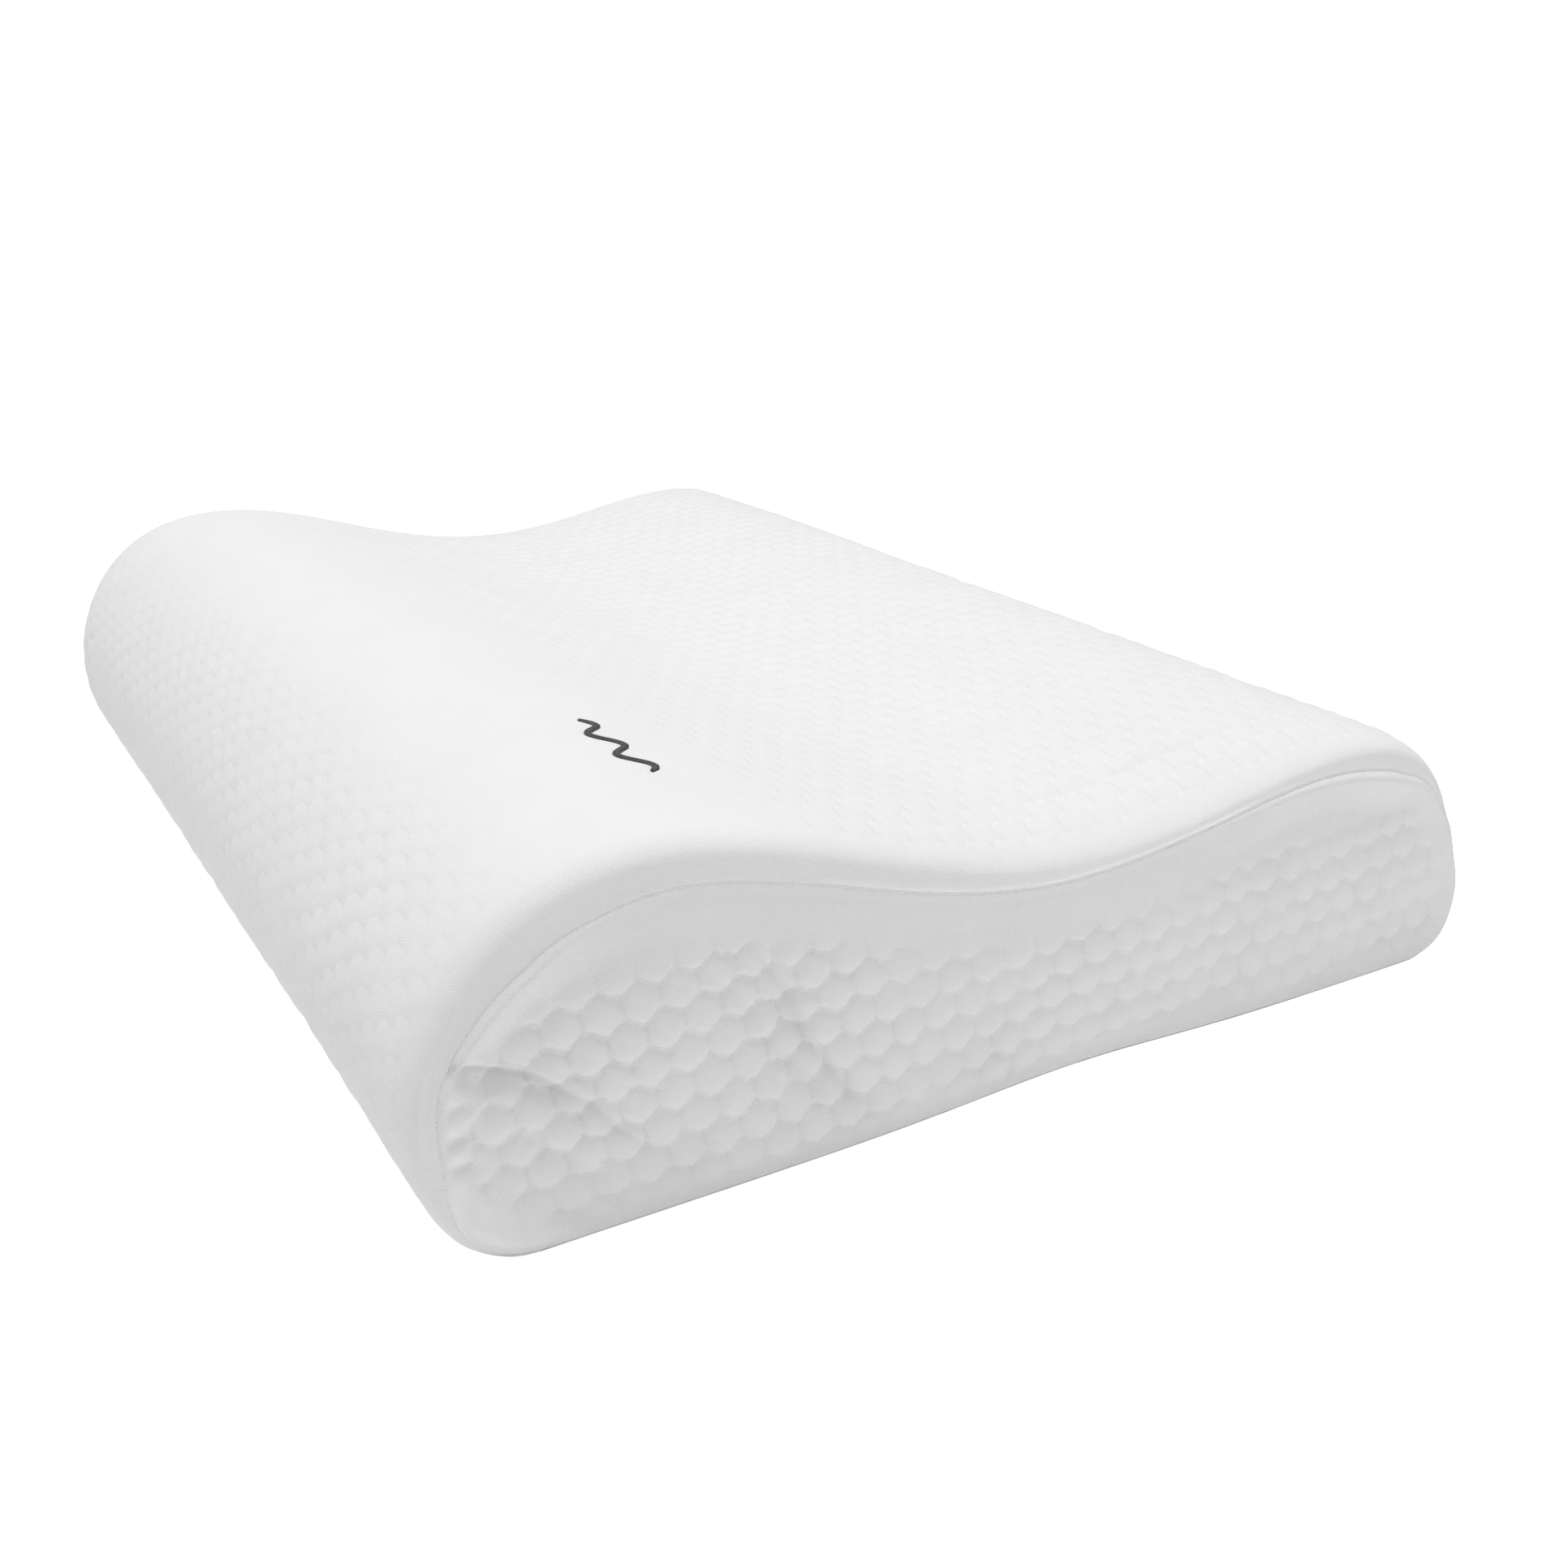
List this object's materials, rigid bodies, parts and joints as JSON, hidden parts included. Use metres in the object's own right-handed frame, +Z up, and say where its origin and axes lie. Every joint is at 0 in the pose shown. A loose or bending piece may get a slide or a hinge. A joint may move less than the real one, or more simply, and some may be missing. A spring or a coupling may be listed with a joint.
{
  "type": "contour foam neck pillow",
  "caption": "Contoured foam neck pillow with a high and a low lobe, in a white honeycomb-quilted knit cover with flat sewn end panels, a rear zip and a blank label.",
  "frame": {"origin": "centre of the flat underside, halfway along the length and halfway between the front of the high lobe and the rear of the low lobe", "axes": "+X along the length, +Y from the high lobe at the front to the low lobe and zip at the rear, +Z up"},
  "size_m": [0.501, 0.362, 0.105],
  "materials": {
    "memory_foam": "matte, open-cell moulded foam",
    "liner_jersey": "matte, thin single jersey",
    "quilted_knit": "matte white quilted knit with small honeycomb cells",
    "quilted_knit_ends": "matte white quilted knit with small honeycomb cells",
    "sewing_thread": "twisted white polyester thread",
    "zip_tape": "white woven tape",
    "zip_nylon": "white nylon coil",
    "zip_slider_paint": "satin white enamel on die-cast metal",
    "label_satin": "blank white satin ribbon",
    "embroidery_thread": "dark grey satin-stitch thread"
  },
  "bodies": {
    "pillow": {"foam_core": "memory_foam", "liner_wrap": "liner_jersey", "liner_end_right": "liner_jersey", "liner_end_left": "liner_jersey", "liner_seam_right": "sewing_thread", "liner_seam_left": "sewing_thread", "cover_wrap": "quilted_knit", "end_panel_right": "quilted_knit_ends", "end_panel_left": "quilted_knit_ends", "seam_thread_right": "sewing_thread", "seam_thread_left": "sewing_thread", "zip_tape_upper": "zip_tape", "zip_tape_lower": "zip_tape", "zip_coil_upper": "zip_nylon", "zip_coil_lower": "zip_nylon", "zip_stitch_upper": "sewing_thread", "zip_stitch_lower": "sewing_thread", "zip_bartack_right": "sewing_thread", "zip_bartack_left": "sewing_thread", "embroidered_mark": "embroidery_thread"},
    "zip_slider": {"zip_slider": "zip_slider_paint"},
    "pull_tab": {"zip_pull_tab": "zip_slider_paint"},
    "care_label": {"care_label": "label_satin"}
  },
  "joints": [
    {"name": "zip_slide", "type": "slide", "parent": "pillow", "child": "zip_slider", "axis": [-1, 0, 0], "range_m": [0, 0.4]},
    {"name": "pull_tab_flip", "type": "hinge", "parent": "zip_slider", "child": "pull_tab", "pos_m": [0.2035, 0.17926, 0.0342], "axis": [0, 0.231, -0.973], "range_deg": [0, 180]},
    {"name": "care_label_flap", "type": "hinge", "parent": "pillow", "child": "care_label", "pos_m": [-0.2507, 0.11246, 0.07461], "axis": [0, 1, 0], "range_deg": [0, 170]}
  ]
}
